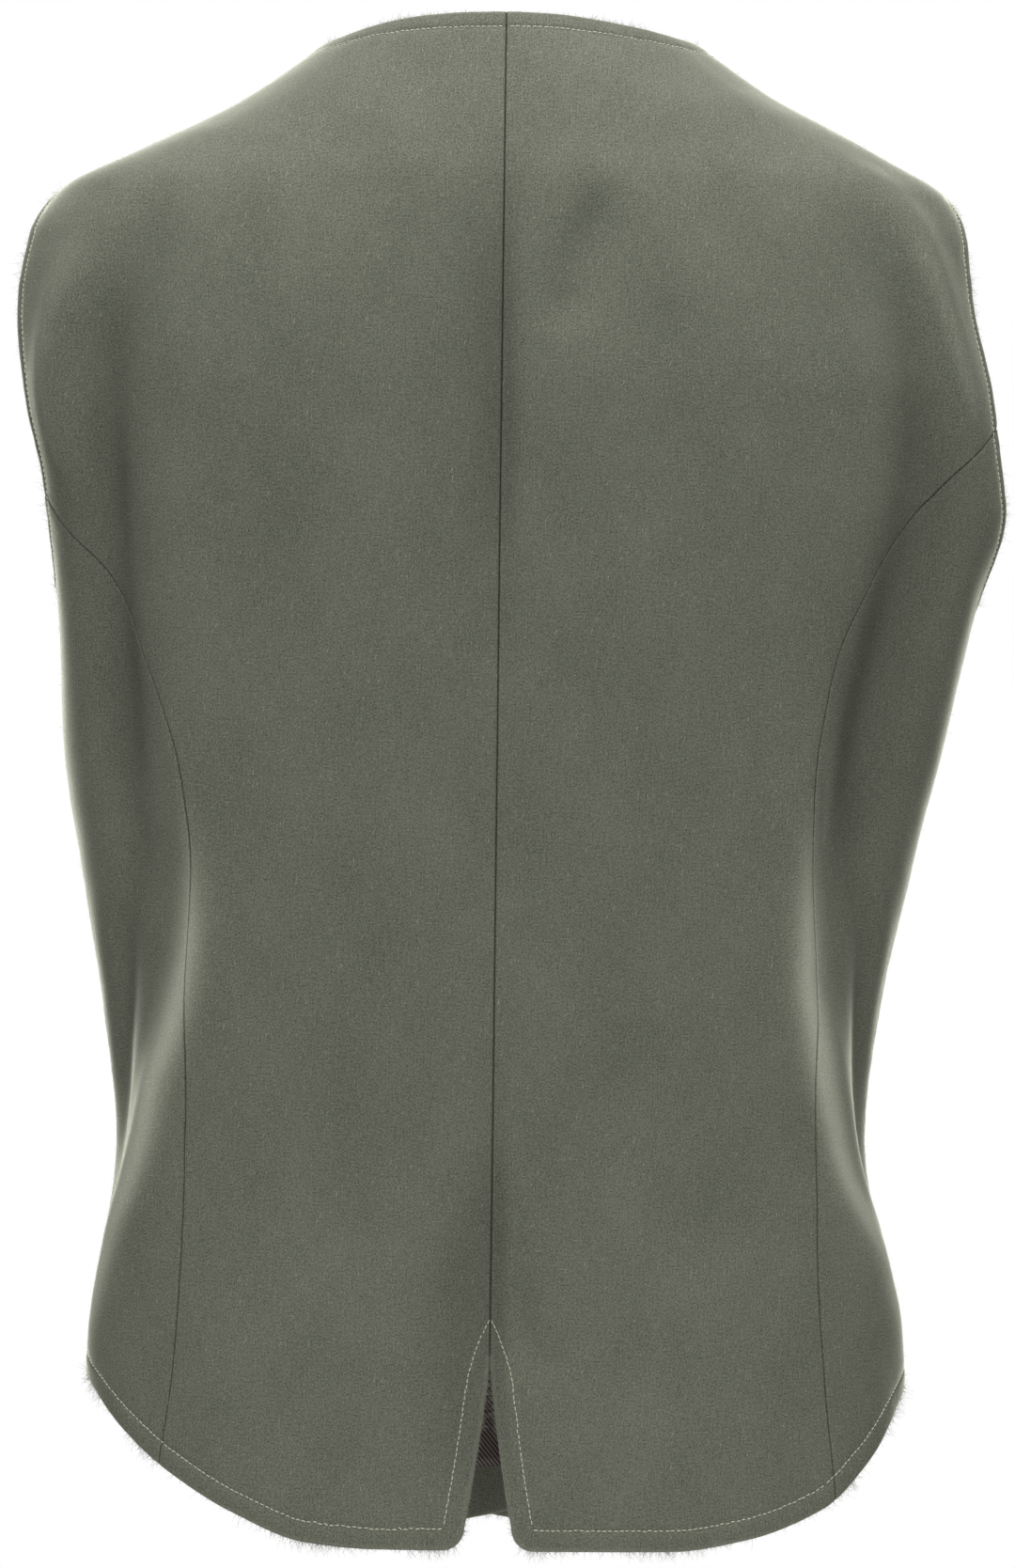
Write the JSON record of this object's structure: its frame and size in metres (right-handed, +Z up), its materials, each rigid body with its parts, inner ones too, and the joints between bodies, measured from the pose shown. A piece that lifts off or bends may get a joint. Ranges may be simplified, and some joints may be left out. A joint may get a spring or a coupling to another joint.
{
  "type": "trachten vest",
  "caption": "Folk-dress waistcoat in grey-green wool, collarless, curved back seams and a back vent, filled out as when it is worn.",
  "frame": {"origin": "midway between the two shoulder seams, at the height where the wearer's shoulders carry the vest", "axes": "+Z up, +Y towards the wearer's back, +X towards the wearer's left"},
  "size_m": [0.3822, 0.2248, 0.6061],
  "materials": {
    "wool": "matt melange wool flannel",
    "lining": "dark satin twill",
    "button": "dark horn"
  },
  "bodies": {
    "root": {"back_left": "wool", "side_back_left": "wool", "front_left": "wool", "lining_left": "lining", "back_right": "wool", "side_back_right": "wool", "front_right": "wool", "lining_right": "lining", "button_1": "button", "button_2": "button", "button_3": "button", "button_4": "button", "button_5": "button"}
  },
  "joints": []
}
